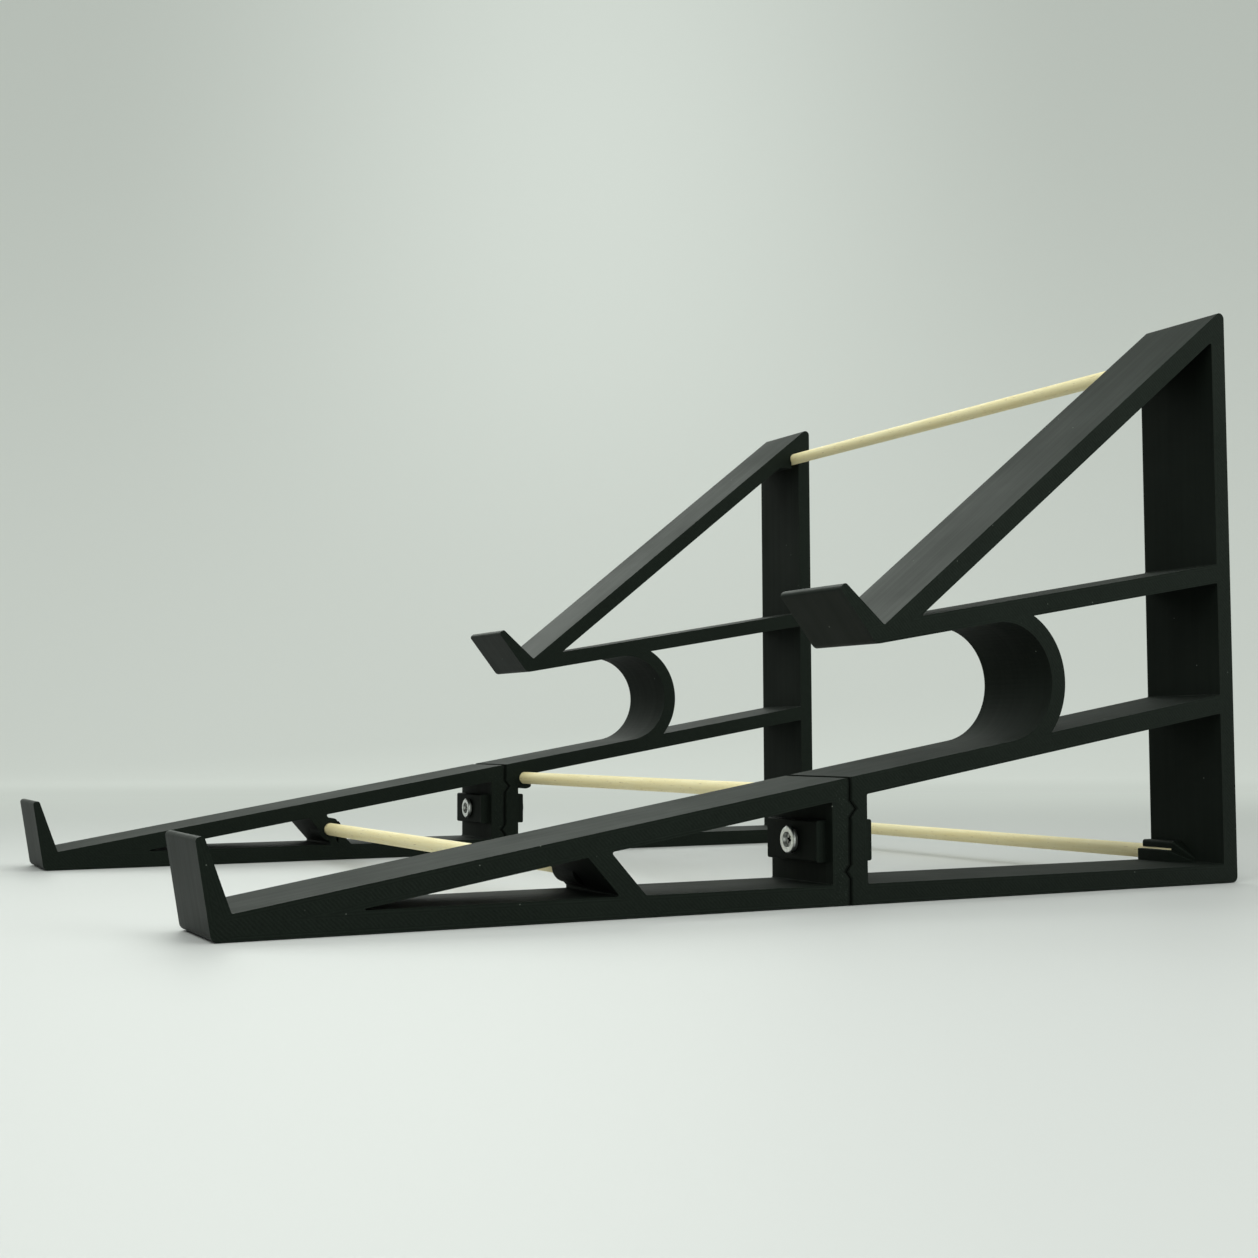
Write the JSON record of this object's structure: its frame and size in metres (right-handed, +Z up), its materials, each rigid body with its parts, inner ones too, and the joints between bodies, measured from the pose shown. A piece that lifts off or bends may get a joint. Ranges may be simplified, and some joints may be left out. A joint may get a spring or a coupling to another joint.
{
  "type": "two-tier desktop stand",
  "caption": "Desktop stand with a lower and an upper sloping shelf: lipped plastic side frames, bolted together in halves and held apart by round wooden rods.",
  "frame": {"origin": "middle of the footprint, on the desk", "axes": "+X to the right seen from the front, +Y to the rear, +Z up; a device slides in from -Y"},
  "size_m": [0.348, 0.4174, 0.2312],
  "materials": {
    "frame_plastic": "black printed plastic with fine layer lines",
    "joint_steel": "bright steel",
    "rod_wood": "plain pale wood"
  },
  "bodies": {
    "root": {"front_frame_left": "frame_plastic", "rear_frame_left": "frame_plastic", "joint_screw_left": "joint_steel", "joint_washer_left": "joint_steel", "joint_nut_left": "joint_steel", "front_frame_right": "frame_plastic", "rear_frame_right": "frame_plastic", "joint_screw_right": "joint_steel", "joint_washer_right": "joint_steel", "joint_nut_right": "joint_steel", "front_rod": "rod_wood", "middle_rod": "rod_wood", "rear_rod": "rod_wood", "top_rod": "rod_wood"}
  },
  "joints": []
}
